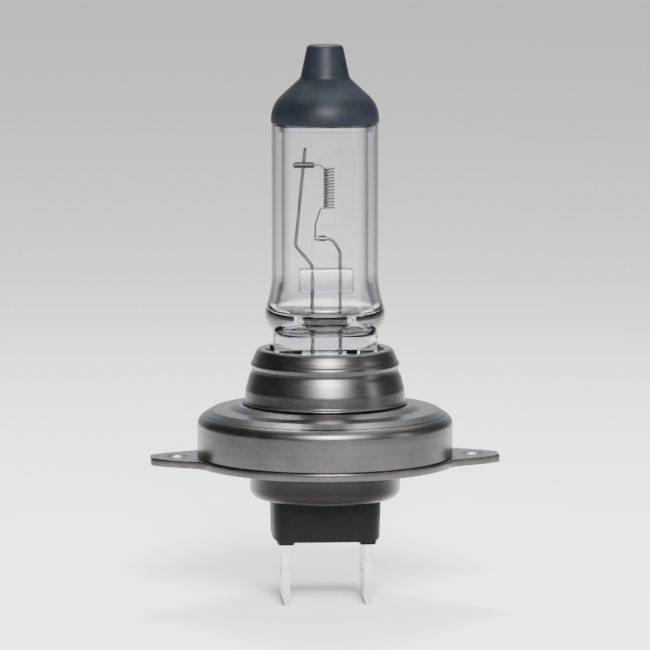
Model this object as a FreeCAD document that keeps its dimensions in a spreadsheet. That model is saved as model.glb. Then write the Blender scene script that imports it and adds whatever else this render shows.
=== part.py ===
"""Halogen headlight bulb with a 26 mm prefocus base, as an assembly of its separate pieces.

Millimetres. The origin is the centre of the reference plane, which the three supporting bosses of
the flange plate touch. +Z runs along the bulb axis to the glass tip, the two ears lie on +X and -X,
and the wide reference lug lies on +Y, so -Y is the front.
"""
import FreeCAD
import Part
import math
import os
import Sketcher

DIMENSIONS = {
    # quartz burner
    "tube_radius": 5.42,
    "glass_wall": 1.0,
    "tip_top": 41.5,
    "tip_radius": 1.75,
    "tip_foot_radius": 2.45,
    "tip_foot": 38.2,
    "dome_corner": 35.45,
    "bulge_radius": 6.1,
    "bulge_middle": 14.0,
    "bulge_flat": 0.75,
    "bulge_start": 16.7,
    "seal_top": 12.3,
    "cavity_top": 35.6,
    "cavity_foot": 13.3,
    "pinch_width": 10.6,
    "pinch_thickness": 3.4,
    "pinch_foot": 2.0,
    "coating_edge": 33.7,
    "coating_thickness": 0.06,
    # filament and the wires inside the burner
    "filament_foot": 25.0,
    "filament_length": 4.1,
    "filament_offset": 0.4,
    "coil_radius": 0.5,
    "coil_turns": 13.5,
    "filament_wire": 0.1,
    "leg_rise": 0.35,
    "upper_leg_knee": -0.15,
    "upper_leg_end": -3.3,
    "lower_leg_drop": -0.95,
    "lower_leg_knee": 23.3,
    "lower_leg_level": 21.9,
    "lower_leg_end": 0.3,
    "sleeve_radius": 0.32,
    "sleeve_setback": 0.1,
    "upper_sleeve_length": 2.1,
    "lower_sleeve_length": 0.85,
    "wire_radius": 0.18,
    "long_wire_place": -1.3,
    "long_wire_crank": 19.2,
    "long_wire_reach": -3.0,
    "long_wire_elbow": 21.2,
    "long_wire_lean": 1.0,
    "long_wire_top": 31.2,
    "short_wire_place": 1.54,
    "short_wire_shoulder": 20.6,
    "short_wire_turn": 0.7,
    "short_wire_end": -1.15,
    "wire_foot": 8.2,
    "bridge_foot": 16.4,
    "bridge_height": 2.5,
    "bridge_half_length": 2.8,
    "bridge_bar_depth": 1.15,
    # seal and leads
    "foil_place": 2.1,
    "foil_width": 2.5,
    "foil_thickness": 0.05,
    "foil_foot": 4.4,
    "foil_length": 5.2,
    "lead_radius": 0.4,
    "lead_top": 5.6,
    "lead_knee": 1.7,
    "lead_ankle": 0.7,
    "lead_foot": -0.9,
    # metal base
    "sheet": 0.45,
    "cup_foot": 5.2,
    "cup_foot_radius": 8.4,
    "cup_wall_radius": 8.15,
    "cup_bead_radius": 7.88,
    "cup_bead": 7.6,
    "cup_groove_radius": 7.5,
    "cup_groove": 8.55,
    "cup_ridge_radius": 7.55,
    "cup_ridge": 9.2,
    "cup_shoulder_radius": 7.35,
    "cup_shoulder": 9.9,
    "cup_top": 10.75,
    "cup_mouth_radius": 5.95,
    "clip_plate": 9.0,
    "clip_sheet": 0.3,
    "clip_foot": 5.6,
    "clip_top": 10.9,
    "clip_slot": 0.8,
    "clip_slot_place": 3.4,
    "collar_radius": 13.0,
    "collar_shoulder": 4.1,
    "step_radius": 12.45,
    "ridge_outer_radius": 11.7,
    "ridge_outer": 4.6,
    "valley_radius": 10.5,
    "valley": 4.45,
    "ridge_inner_radius": 9.3,
    "ridge_inner": 5.0,
    "neck_radius": 7.45,
    "neck_foot": 5.05,
    "neck_top": 7.2,
    "flange_thickness": 0.8,
    "boss_height": 0.2,
    "boss_radius": 1.0,
    "boss_circle": 15.1,
    "flange_radius": 13.4,
    "flange_hole": 7.9,
    "ear_start": 11.9,
    "ear_root": 8.8,
    "ear_tip": 5.2,
    "ear_knee": 16.2,
    "ear_reach": 17.8,
    "lug_start": 9.4,
    "lug_width": 12.0,
    "lug_corner": 1.6,
    "lug_reach": 16.9,
    "shell_radius": 7.65,
    "shell_foot": -4.5,
    "shell_lip_radius": 10.5,
    "insulator_width": 11.2,
    "insulator_depth": 9.0,
    "insulator_corner": 2.5,
    "insulator_top": -1.0,
    "insulator_foot": -9.0,
    # terminals
    "blade_width": 6.3,
    "blade_thickness": 0.8,
    "blade_place": 4.15,
    "blade_top": 1.6,
    "blade_foot": -15.4,
    "blade_tab": 3.0,
    "blade_hole": 0.85,
    "blade_hole_height": -11.6,
    # fits and tapers
    "gap": 0.04,
    "gas_gap": 0.01,
    "lead_in": 1.1,
    "taper": 0.9,
    # corner radii in glass
    "glass_fine": 0.4,
    "glass_soft": 0.8,
    "glass_hip": 1.8,
    "glass_dome": 3.1,
    "glass_swell": 4.0,
    # bend radii in sheet metal and wire, and corner radii of stampings and mouldings
    "bend_fine": 0.2,
    "bend_tight": 0.3,
    "bend_soft": 0.5,
    "bend_wide": 0.8,
    "bend_broad": 1.2,
}


class Size:
    """A length held both as a number and as the spreadsheet expression that gives it."""

    def __init__(self, value, text):
        self.value = value
        self.text = text

    @staticmethod
    def of(other):
        return other if isinstance(other, Size) else Size(other, repr(other))

    def _join(self, other, sign, value):
        return Size(value, "(" + self.text + " " + sign + " " + other.text + ")")

    def __add__(self, other):
        other = Size.of(other)
        return self._join(other, "+", self.value + other.value)

    def __sub__(self, other):
        other = Size.of(other)
        return self._join(other, "-", self.value - other.value)

    def __mul__(self, other):
        other = Size.of(other)
        return self._join(other, "*", self.value * other.value)

    def __truediv__(self, other):
        other = Size.of(other)
        return self._join(other, "/", self.value / other.value)

    def __neg__(self):
        return Size(-self.value, "(0 - " + self.text + ")")


class Sheet:
    """The document's spreadsheet; each alias reads as an attribute that is a Size."""

    def __init__(self, doc, dimensions):
        cells = doc.addObject("Spreadsheet::Sheet", "Dimensions")
        for row, (alias, value) in enumerate(dimensions.items(), start=1):
            cells.set("A" + str(row), alias)
            cells.set("B" + str(row), str(value))
            cells.setAlias("B" + str(row), alias)
            setattr(self, alias, Size(value, "Dimensions." + alias))


# ---------------------------------------------------------------- sketches and features

def new_body(doc, name):
    body = doc.addObject("PartDesign::Body", name)
    body.Label = name
    return body


def new_sketch(body, name, plane, offset=None):
    """A sketch on one of the body's own origin planes, moved along its normal by offset."""
    sketch = body.newObject("Sketcher::SketchObject", body.Name + "_" + name)
    support = [one for one in body.Origin.OriginFeatures if one.Role == plane][0]
    sketch.AttachmentSupport = [(support, "")]
    sketch.MapMode = "FlatFace"
    if offset is not None:
        sketch.setExpression("AttachmentOffset.Base.z", Size.of(offset).text)
    return sketch


def place_point(sketch, geometry, position, across, up):
    """Hold a sketch point at (across, up) from the sketch's origin, by expressions."""
    for kind, size, axis in (("DistanceX", across, -2), ("DistanceY", up, -1)):
        if not isinstance(size, Size) and size == 0:
            sketch.addConstraint(Sketcher.Constraint("PointOnObject", geometry, position, axis))
        else:
            size = Size.of(size)
            rule = Sketcher.Constraint(kind, -1, 1, geometry, position, size.value)
            number = sketch.addConstraint(rule)
            sketch.setExpression("Constraints[" + str(number) + "]", size.text)


def set_radius(sketch, geometry, radius):
    radius = Size.of(radius)
    number = sketch.addConstraint(Sketcher.Constraint("Radius", geometry, radius.value))
    sketch.setExpression("Constraints[" + str(number) + "]", radius.text)


def circle(sketch, across, up, radius):
    centre = FreeCAD.Vector(Size.of(across).value, Size.of(up).value, 0)
    shape = Part.Circle(centre, FreeCAD.Vector(0, 0, 1), Size.of(radius).value)
    number = sketch.addGeometry(shape, False)
    place_point(sketch, number, 3, across, up)
    set_radius(sketch, number, radius)


def corner_arc(before, corner, after, radius):
    """The two tangent points of a rounded corner, its arc, and whether the arc runs forwards."""
    inward = (before - corner).normalize()
    outward = (after - corner).normalize()
    half = inward.getAngle(outward) / 2
    run = radius / math.tan(half)
    centre = corner + (inward + outward).normalize() * (radius / math.sin(half))
    start = corner + inward * run
    end = corner + outward * run
    left_turn = (corner - before).cross(after - corner).z > 0
    first, last = (start, end) if left_turn else (end, start)
    from_angle = math.atan2(first.y - centre.y, first.x - centre.x)
    to_angle = math.atan2(last.y - centre.y, last.x - centre.x)
    full = Part.Circle(centre, FreeCAD.Vector(0, 0, 1), radius)
    return start, end, Part.ArcOfCircle(full, from_angle, to_angle), left_turn


def outline(sketch, corners, closed=True):
    """A run of straight edges through corners (across, up) or (across, up, corner radius)."""
    points = [FreeCAD.Vector(Size.of(c[0]).value, Size.of(c[1]).value, 0) for c in corners]
    count = len(corners)
    starts = list(points)
    ends = list(points)
    arcs = {}
    for index, corner in enumerate(corners):
        if len(corner) == 3:
            radius = Size.of(corner[2]).value
            made = corner_arc(points[index - 1], points[index], points[(index + 1) % count], radius)
            starts[index] = made[0]
            ends[index] = made[1]
            arcs[index] = made
    lines = []
    for index in range(count if closed else count - 1):
        segment = Part.LineSegment(ends[index], starts[(index + 1) % count])
        lines.append(sketch.addGeometry(segment, False))
    for index, corner in enumerate(corners):
        arriving = lines[index - 1] if closed or index > 0 else None
        leaving = lines[index] if index < len(lines) else None
        if index in arcs:
            round_corner(sketch, arcs[index], points[index], corner, arriving, leaving)
            continue
        if arriving is not None and leaving is not None:
            sketch.addConstraint(Sketcher.Constraint("Coincident", arriving, 2, leaving, 1))
        if leaving is not None:
            place_point(sketch, leaving, 1, corner[0], corner[1])
        else:
            place_point(sketch, arriving, 2, corner[0], corner[1])


def round_corner(sketch, made, point, corner, arriving, leaving):
    """Round one corner of an outline; a construction point keeps the sharp corner's place."""
    arc = sketch.addGeometry(made[2], False)
    near, far = (1, 2) if made[3] else (2, 1)
    mark = sketch.addGeometry(Part.Point(point), True)
    place_point(sketch, mark, 1, corner[0], corner[1])
    sketch.addConstraint(Sketcher.Constraint("PointOnObject", mark, 1, arriving))
    sketch.addConstraint(Sketcher.Constraint("PointOnObject", mark, 1, leaving))
    sketch.addConstraint(Sketcher.Constraint("Tangent", arriving, 2, arc, near))
    sketch.addConstraint(Sketcher.Constraint("Tangent", arc, far, leaving, 1))
    set_radius(sketch, arc, corner[2])


def rectangle(sketch, width, height, corner=None, across=0, up=0):
    """A rectangle centred on (across, up)."""
    across = Size.of(across)
    up = Size.of(up)
    extra = () if corner is None else (corner,)
    left = across - width / 2
    right = across + width / 2
    low = up - height / 2
    high = up + height / 2
    outline(sketch, [(left, low) + extra, (right, low) + extra,
                     (right, high) + extra, (left, high) + extra])


def turn(body, sketch, cut=False):
    """Revolve a sketch about its own vertical axis, as new material or as a groove."""
    kind = "Groove" if cut else "Revolution"
    feature = body.newObject("PartDesign::" + kind, sketch.Name + "_" + kind.lower())
    feature.Profile = sketch
    feature.ReferenceAxis = (sketch, ["V_Axis"])
    feature.Angle = 360
    return feature


def extrude(body, sketch, length, kind="Pad", symmetric=False, backwards=False):
    """Pad or pocket a sketch by length, towards its normal unless backwards."""
    feature = body.newObject("PartDesign::" + kind, sketch.Name + "_" + kind.lower())
    feature.Profile = sketch
    feature.setExpression("Length", Size.of(length).text)
    feature.SideType = "Symmetric" if symmetric else "One side"
    feature.Reversed = backwards
    return feature


def drill(doc, body, sketch, length, backwards=False):
    """A pocket that must take material away."""
    doc.recompute()
    before = body.Shape.Volume
    pocket = extrude(body, sketch, length, "Pocket", backwards=backwards)
    doc.recompute()
    if body.Shape.Volume >= before:
        raise RuntimeError(pocket.Name + " cuts nothing")
    return pocket


def pipe(body, name, route, radius, depth=0, level_start=False):
    """Sweep a round section along a route in the plane y = depth, from its vertical or level start."""
    path = new_sketch(body, name + "_route", "XZ_Plane", -Size.of(depth))
    outline(path, route, closed=False)
    across, up = route[0]
    if level_start:
        section = new_sketch(body, name + "_section", "YZ_Plane", across)
        circle(section, depth, up, radius)
    else:
        section = new_sketch(body, name + "_section", "XY_Plane", up)
        circle(section, across, depth, radius)
    sweep = body.newObject("PartDesign::AdditivePipe", body.Name + "_" + name)
    sweep.Profile = section
    sweep.Spine = (path, [])
    sweep.Mode = "Frenet"
    return sweep


# ---------------------------------------------------------------- quartz burner

def burner_outline(d):
    """Right-hand profile of the glass from the tip's centre down to the seal."""
    return [
        (0, d.tip_top),
        (d.tip_radius, d.tip_top, d.glass_fine),
        (d.tip_foot_radius, d.tip_foot, d.glass_soft),
        (d.tube_radius, d.dome_corner, d.glass_dome),
        (d.tube_radius, d.bulge_start, d.glass_swell),
        (d.bulge_radius, d.bulge_middle + d.bulge_flat, d.glass_hip),
        (d.bulge_radius, d.bulge_middle - d.bulge_flat, d.glass_soft),
        (d.tube_radius - d.glass_fine, d.seal_top, d.glass_fine),
        (0, d.seal_top),
    ]


def make_glass_envelope(doc, d):
    """Tube, dome, tip, bulge and pinch seal in one piece of quartz, with the gas space inside."""
    body = new_body(doc, "glass_envelope")
    outside = new_sketch(body, "outside", "XZ_Plane")
    outline(outside, burner_outline(d))
    turn(body, outside)

    seal = new_sketch(body, "seal", "XY_Plane", d.pinch_foot)
    rectangle(seal, d.pinch_width, d.pinch_thickness, d.bend_soft)
    extrude(body, seal, d.seal_top + d.glass_fine - d.pinch_foot)

    inside = new_sketch(body, "inside", "XZ_Plane")
    bore = d.tube_radius - d.glass_wall
    outline(inside, [
        (0, d.cavity_top),
        (bore, d.cavity_top, d.glass_dome),
        (bore, d.bulge_start, d.glass_swell),
        (d.bulge_radius - d.glass_wall, d.bulge_middle + d.bulge_flat, d.glass_soft),
        (bore - d.glass_soft, d.cavity_foot, d.glass_fine),
        (0, d.cavity_foot),
    ])
    turn(body, inside, cut=True)

    for name, place in (("long", d.long_wire_place), ("short", d.short_wire_place)):
        channel = new_sketch(body, name + "_wire_channel", "XY_Plane", d.wire_foot)
        circle(channel, place, 0, d.wire_radius + d.gas_gap)
        drill(doc, body, channel, d.cavity_foot + d.gap - d.wire_foot, backwards=True)

    for name, place in (("left", -d.foil_place), ("right", d.foil_place)):
        slot = new_sketch(body, name + "_foil_slot", "XY_Plane", d.foil_foot)
        rectangle(slot, d.foil_width, d.foil_thickness, across=place, up=foil_depth(d))
        drill(doc, body, slot, d.foil_length, backwards=True)
        channel = new_sketch(body, name + "_lead_channel", "XY_Plane", d.pinch_foot)
        circle(channel, place, lead_depth(d), d.lead_radius + d.gas_gap)
        drill(doc, body, channel, d.lead_top - d.pinch_foot, backwards=True)
    return body


def make_black_top_coating(doc, d):
    """Thin opaque skin over the tip and dome, ending in a sharp edge on the tube."""
    body = new_body(doc, "black_top_coating")
    skin = new_sketch(body, "skin", "XZ_Plane")
    thick = d.coating_thickness
    under = burner_outline(d)[:4]
    over = [
        (0, d.tip_top + thick),
        (d.tip_radius + thick, d.tip_top + thick, d.glass_fine + thick),
        (d.tip_foot_radius + thick, d.tip_foot + thick / 2, d.glass_soft - thick),
        (d.tube_radius + thick, d.dome_corner + thick / 2, d.glass_dome + thick),
    ]
    edge = [(d.tube_radius + thick, d.coating_edge), (d.tube_radius, d.coating_edge)]
    outline(skin, over + edge + under[::-1])
    turn(body, skin)
    return body


# ---------------------------------------------------------------- filament and its supports

def make_filament(doc, d):
    """One tungsten wire: the axial coil, and a leg that leaves each end of it along the winding."""
    body = new_body(doc, "filament")
    section = new_sketch(body, "coil_section", "YZ_Plane", d.filament_offset)
    circle(section, d.coil_radius, d.filament_foot, d.filament_wire)
    coil = body.newObject("PartDesign::AdditiveHelix", "filament_coil")
    coil.Profile = section
    coil.ReferenceAxis = (section, ["V_Axis"])
    coil.Mode = "height-turns-angle"
    coil.LeftHanded = True
    coil.setExpression("Height", d.filament_length.text)
    coil.setExpression("Turns", d.coil_turns.text)
    doc.recompute()

    top = d.filament_foot + d.filament_length
    upper = [(d.filament_offset, top),
             (d.upper_leg_knee, top, d.bend_tight),
             (d.upper_leg_knee - d.leg_rise, top + d.leg_rise, d.bend_tight),
             (d.upper_leg_end, top + d.leg_rise)]
    pipe(body, "upper_leg", upper, d.filament_wire, -d.coil_radius, level_start=True)
    lower = [(d.filament_offset, d.filament_foot),
             (-d.filament_offset, d.filament_foot, d.bend_tight),
             (d.lower_leg_drop, d.lower_leg_knee, d.bend_soft),
             (d.lower_leg_drop, d.lower_leg_level, d.bend_fine),
             (d.lower_leg_end, d.lower_leg_level)]
    pipe(body, "lower_leg", lower, d.filament_wire, d.coil_radius, level_start=True)
    return body


def make_leg_sleeve(doc, d, name, start, length, depth, level):
    """Short molybdenum tube pressed on a filament leg where it is welded to its support."""
    body = new_body(doc, name)
    ring = new_sketch(body, "ring", "YZ_Plane", start)
    circle(ring, depth, level, d.sleeve_radius)
    circle(ring, depth, level, d.filament_wire + d.gas_gap)
    extrude(body, ring, length)
    return body


def make_long_support_wire(doc, d):
    """Support that cranks outwards and leans back in past the coil, up to the upper leg."""
    body = new_body(doc, "long_support_wire")
    route = [(d.long_wire_place, d.wire_foot),
             (d.long_wire_place, d.long_wire_crank, d.bend_wide),
             (d.long_wire_reach, d.long_wire_elbow, d.bend_wide),
             (d.long_wire_reach + d.long_wire_lean, d.long_wire_top)]
    pipe(body, "wire", route, d.wire_radius)
    return body


def make_short_support_wire(doc, d):
    """Support that bends over below the coil and ends level, under the lower leg."""
    body = new_body(doc, "short_support_wire")
    route = [(d.short_wire_place, d.wire_foot),
             (d.short_wire_place, d.short_wire_shoulder, d.bend_wide),
             (d.short_wire_turn, d.lower_leg_level, d.bend_wide),
             (d.short_wire_end, d.lower_leg_level)]
    pipe(body, "wire", route, d.wire_radius)
    return body


def make_bridge_bar(doc, d, name, side):
    """One of the two quartz bars fused together across the support wires; side is -1 or 1."""
    body = new_body(doc, name)
    middle = (d.long_wire_place + d.short_wire_place) / 2
    face = new_sketch(body, "face", "XZ_Plane")
    rectangle(face, d.bridge_half_length * 2, d.bridge_height, d.glass_soft,
              across=middle, up=d.bridge_foot + d.bridge_height / 2)
    extrude(body, face, d.bridge_bar_depth, backwards=side > 0)
    for wire, place in (("long", d.long_wire_place), ("short", d.short_wire_place)):
        groove = new_sketch(body, wire + "_wire_groove", "XY_Plane", d.bridge_foot)
        circle(groove, place, 0, d.wire_radius + d.gas_gap)
        drill(doc, body, groove, d.bridge_height, backwards=True)
    return body


# ---------------------------------------------------------------- seal foils and leads

def foil_depth(d):
    """Y of the foils' middle plane: they lie against the backs of the support wires."""
    return d.wire_radius + d.foil_thickness / 2


def lead_depth(d):
    """Y of the outer leads, which lie against the fronts of the foils."""
    return d.wire_radius - d.lead_radius


def make_foil(doc, d, name, place):
    body = new_body(doc, name)
    strip = new_sketch(body, "strip", "XY_Plane", d.foil_foot)
    rectangle(strip, d.foil_width, d.foil_thickness, across=place, up=foil_depth(d))
    extrude(body, strip, d.foil_length)
    return body


def make_outer_lead(doc, d, name, side):
    """Lead from a foil, out of the pinch and down the inner face of a blade."""
    body = new_body(doc, name)
    sign = Size.of(side)
    inner = sign * d.foil_place
    outer = sign * (d.blade_place - d.blade_thickness / 2 - d.lead_radius)
    route = [(inner, d.lead_top),
             (inner, d.lead_knee, d.bend_wide),
             (outer, d.lead_ankle, d.bend_soft),
             (outer, d.lead_foot)]
    pipe(body, "wire", route, d.lead_radius, lead_depth(d))
    return body


# ---------------------------------------------------------------- metal base

def make_pinch_clip(doc, d):
    """Sprung clip: a band cut into tongues grips the pinch, and its plate is welded in the cup."""
    body = new_body(doc, "pinch_clip")
    plate = new_sketch(body, "plate", "XY_Plane", d.clip_plate)
    circle(plate, 0, 0, d.cup_groove_radius - d.sheet - d.gap)
    extrude(body, plate, d.clip_sheet)

    wall = d.clip_sheet + d.gap
    band_depth = d.pinch_thickness + wall * 2
    band = new_sketch(body, "band", "XY_Plane", d.clip_foot)
    rectangle(band, d.pinch_width + wall * 2, band_depth, d.bend_wide)
    extrude(body, band, d.clip_top - d.clip_foot)

    window = new_sketch(body, "window", "XY_Plane", d.clip_foot)
    rectangle(window, d.pinch_width + d.gap * 2, d.pinch_thickness + d.gap * 2, d.bend_soft)
    drill(doc, body, window, d.clip_top - d.clip_foot, backwards=True)

    over_plate = d.clip_plate + d.clip_sheet
    for name, place in (("left", -d.clip_slot_place), ("right", d.clip_slot_place)):
        slot = new_sketch(body, name + "_upper_slot", "XY_Plane", over_plate)
        rectangle(slot, d.clip_slot, band_depth + d.gap, across=place)
        drill(doc, body, slot, d.clip_top - over_plate, backwards=True)
        slot = new_sketch(body, name + "_lower_slot", "XY_Plane", d.clip_foot)
        rectangle(slot, d.clip_slot, band_depth + d.gap, across=place)
        drill(doc, body, slot, d.clip_plate - d.clip_foot - d.clip_sheet, backwards=True)
    return body


def make_burner_cup(doc, d):
    """Beaded sleeve round the burner's foot; its mouth turns in over the clip."""
    body = new_body(doc, "burner_cup")
    wall = new_sketch(body, "wall", "XZ_Plane")
    t = d.sheet
    bore = d.neck_radius + d.gap
    outline(wall, [
        (d.cup_foot_radius, d.cup_foot),
        (d.cup_foot_radius, d.cup_foot + d.bend_tight),
        (d.cup_wall_radius, d.cup_foot + d.lead_in, d.bend_soft),
        (d.cup_bead_radius, d.cup_bead, d.bend_broad),
        (d.cup_groove_radius, d.cup_groove, d.bend_tight),
        (d.cup_ridge_radius, d.cup_ridge, d.bend_tight),
        (d.cup_shoulder_radius, d.cup_shoulder, d.bend_soft),
        (d.cup_mouth_radius + d.taper, d.cup_top, d.bend_tight),
        (d.cup_mouth_radius, d.cup_top),
        (d.cup_mouth_radius, d.cup_top - t),
        (d.cup_mouth_radius + t, d.cup_top - t, d.bend_fine),
        (d.cup_groove_radius - t, d.cup_shoulder - t, d.bend_fine),
        (d.cup_groove_radius - t, d.cup_groove - d.bend_fine, d.bend_tight),
        (bore, d.cup_bead - d.bend_fine, d.bend_tight),
        (bore, d.cup_foot + d.bend_tight),
        (bore + d.bend_fine, d.cup_foot),
    ])
    turn(body, wall)
    return body


def make_collar_ring(doc, d):
    """Drawn ring: the 26 mm wall, a stepped top and the neck that the cup slides on."""
    body = new_body(doc, "collar_ring")
    wall = new_sketch(body, "wall", "XZ_Plane")
    t = d.sheet
    outline(wall, [
        (d.collar_radius, -d.boss_height),
        (d.collar_radius, d.collar_shoulder, d.bend_wide),
        (d.step_radius, d.collar_shoulder + d.gap, d.bend_fine),
        (d.ridge_outer_radius, d.ridge_outer, d.bend_soft),
        (d.valley_radius, d.valley, d.bend_wide),
        (d.ridge_inner_radius, d.ridge_inner, d.bend_wide),
        (d.neck_radius, d.neck_foot, d.bend_fine),
        (d.neck_radius, d.neck_top),
        (d.neck_radius - t, d.neck_top),
        (d.neck_radius - t, d.neck_foot - t, d.bend_soft),
        (d.ridge_inner_radius, d.ridge_inner - t, d.bend_wide),
        (d.valley_radius, d.valley - t, d.bend_wide),
        (d.ridge_outer_radius, d.ridge_outer - t, d.bend_soft),
        (d.collar_radius - t, d.collar_shoulder - t, d.bend_soft),
        (d.collar_radius - t, -d.boss_height),
    ])
    turn(body, wall)
    return body


def make_flange_plate(doc, d):
    """Stamped plate with two ears, the wide reference lug and three supporting bosses."""
    body = new_body(doc, "flange_plate")
    underside = -d.boss_height - d.flange_thickness
    disc = new_sketch(body, "disc", "XY_Plane", underside)
    circle(disc, 0, 0, d.flange_radius)
    extrude(body, disc, d.flange_thickness)

    ear = new_sketch(body, "ear", "XY_Plane", underside)
    outline(ear, [
        (d.ear_start, -d.ear_root / 2),
        (d.ear_knee, -d.ear_tip / 2, d.bend_broad),
        (d.ear_reach, -d.ear_tip / 4, d.bend_wide),
        (d.ear_reach, d.ear_tip / 4, d.bend_wide),
        (d.ear_knee, d.ear_tip / 2, d.bend_broad),
        (d.ear_start, d.ear_root / 2),
    ])
    one_ear = extrude(body, ear, d.flange_thickness)
    ears = body.newObject("PartDesign::PolarPattern", "flange_plate_ears")
    ears.Originals = [one_ear]
    ears.Axis = (ear, ["N_Axis"])
    ears.Angle = 360
    ears.Occurrences = 2
    body.Tip = ears

    lug = new_sketch(body, "lug", "XY_Plane", underside)
    side = d.lug_width / 2
    outline(lug, [
        (-side, d.lug_start),
        (side, d.lug_start),
        (side, d.lug_reach - d.lug_corner / 2, d.bend_wide),
        (side - d.lug_corner, d.lug_reach, d.bend_broad),
        (d.lug_corner - side, d.lug_reach, d.bend_broad),
        (-side, d.lug_reach - d.lug_corner / 2, d.bend_wide),
    ])
    extrude(body, lug, d.flange_thickness)

    bosses = new_sketch(body, "bosses", "XY_Plane", -d.boss_height)
    for across, up in ((d.boss_circle, 0), (0, d.boss_circle), (-d.boss_circle, 0)):
        circle(bosses, across, up, d.boss_radius)
    extrude(body, bosses, d.boss_height)

    hole = new_sketch(body, "hole", "XY_Plane", underside)
    circle(hole, 0, 0, d.flange_hole)
    drill(doc, body, hole, d.flange_thickness, backwards=True)
    return body


def make_rear_shell(doc, d):
    """Drawn cup that hangs in the flange plate's hole by its lip and holds the insulator."""
    body = new_body(doc, "rear_shell")
    wall = new_sketch(body, "wall", "XZ_Plane")
    t = d.sheet
    lip = -d.boss_height
    outline(wall, [
        (d.shell_lip_radius, lip),
        (d.shell_lip_radius, lip + t),
        (d.shell_radius - t, lip + t, d.bend_soft),
        (d.shell_radius - t, d.shell_foot + t, d.bend_soft),
        (0, d.shell_foot + t),
        (0, d.shell_foot),
        (d.shell_radius, d.shell_foot, d.bend_soft + t),
        (d.shell_radius, lip, d.bend_fine),
    ])
    turn(body, wall)
    window = new_sketch(body, "window", "XY_Plane", d.shell_foot)
    rectangle(window, d.insulator_width + d.gap * 2, d.insulator_depth + d.gap * 2,
              d.insulator_corner + d.gap)
    drill(doc, body, window, d.sheet, backwards=True)
    return body


# ---------------------------------------------------------------- insulator and terminals

def make_insulator_block(doc, d):
    """Moulded block: a disc inside the rear shell and a foot that the blades pass through."""
    body = new_body(doc, "insulator_block")
    seat = d.shell_foot + d.sheet
    foot = new_sketch(body, "foot", "XY_Plane", d.insulator_foot)
    rectangle(foot, d.insulator_width, d.insulator_depth, d.insulator_corner)
    extrude(body, foot, seat + d.sheet - d.insulator_foot)
    disc = new_sketch(body, "disc", "XZ_Plane")
    radius = d.shell_radius - d.sheet - d.gap
    outline(disc, [
        (0, seat),
        (radius, seat, d.bend_wide),
        (radius, d.insulator_top, d.bend_fine),
        (0, d.insulator_top),
    ])
    turn(body, disc)
    for name, place in (("left", -d.blade_place), ("right", d.blade_place)):
        slot = new_sketch(body, name + "_slot", "XY_Plane", d.insulator_foot)
        rectangle(slot, d.blade_thickness + d.gap, d.blade_width + d.gap, across=place)
        drill(doc, body, slot, d.insulator_top - d.insulator_foot, backwards=True)
    return body


def make_terminal_blade(doc, d, name, side):
    """Flat blade with a tapered end and a latch hole; its narrow top is welded to the lead."""
    body = new_body(doc, name)
    place = Size.of(side) * d.blade_place
    half = d.blade_width / 2
    tab = d.blade_tab / 2
    face = new_sketch(body, "face", "YZ_Plane", place)
    right_side = [
        (half - d.taper, d.blade_foot, d.bend_tight),
        (half, d.blade_foot + d.lead_in, d.bend_tight),
        (half, d.insulator_top, d.bend_fine),
        (tab, d.insulator_top, d.bend_fine),
        (tab, d.blade_top, d.bend_tight),
    ]
    left_side = [(-across, up, radius) for across, up, radius in reversed(right_side)]
    outline(face, right_side + left_side)
    circle(face, 0, d.blade_hole_height, d.blade_hole)
    extrude(body, face, d.blade_thickness, symmetric=True)
    return body


# ---------------------------------------------------------------- assembly

def build(doc):
    d = Sheet(doc, DIMENSIONS)
    upper_level = d.filament_foot + d.filament_length + d.leg_rise
    lower_sleeve_end = d.lower_leg_end - d.sleeve_setback
    pieces = [
        make_glass_envelope(doc, d),
        make_black_top_coating(doc, d),
        make_filament(doc, d),
        make_leg_sleeve(doc, d, "upper_leg_sleeve", d.upper_leg_end + d.sleeve_setback,
                        d.upper_sleeve_length, -d.coil_radius, upper_level),
        make_leg_sleeve(doc, d, "lower_leg_sleeve", lower_sleeve_end - d.lower_sleeve_length,
                        d.lower_sleeve_length, d.coil_radius, d.lower_leg_level),
        make_long_support_wire(doc, d),
        make_short_support_wire(doc, d),
        make_bridge_bar(doc, d, "bridge_bar_front", -1),
        make_bridge_bar(doc, d, "bridge_bar_rear", 1),
        make_pinch_clip(doc, d),
        make_burner_cup(doc, d),
        make_collar_ring(doc, d),
        make_flange_plate(doc, d),
        make_rear_shell(doc, d),
        make_insulator_block(doc, d),
    ]
    for word, side in (("left", -1), ("right", 1)):
        place = Size.of(side) * d.foil_place
        pieces.append(make_foil(doc, d, "molybdenum_foil_" + word, place))
        pieces.append(make_outer_lead(doc, d, "outer_lead_" + word, side))
        pieces.append(make_terminal_blade(doc, d, "terminal_blade_" + word, side))
    return pieces


def check(doc, pieces):
    """Stop if a feature failed or a piece isn't one valid solid."""
    for thing in doc.Objects:
        if "Invalid" in thing.State or "Error" in thing.State:
            raise RuntimeError("failed feature: " + thing.Name + " " + str(thing.State))
    for piece in pieces:
        shape = piece.Shape
        if shape.isNull() or not shape.isValid() or len(shape.Solids) != 1:
            raise RuntimeError("bad solid: " + piece.Label + " " + str(len(shape.Solids)))


def export(pieces):
    os.makedirs("parts", exist_ok=True)
    for piece in pieces:
        piece.Shape.exportStep("parts/" + piece.Label + ".step")
        box = piece.Shape.BoundBox
        print("%-22s %8.2f mm3   z %7.2f to %6.2f" % (piece.Label, piece.Shape.Volume, box.ZMin, box.ZMax))


document = FreeCAD.newDocument("headlight_bulb")
all_pieces = build(document)
document.recompute()
check(document, all_pieces)
export(all_pieces)
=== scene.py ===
"""Looks of the headlight bulb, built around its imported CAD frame.

Shapes are worked out in millimetres in the CAD's own frame (+Z along the bulb axis to the glass
tip, -Y the front) and become metres in one place, make_piece().
"""
import math

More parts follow.
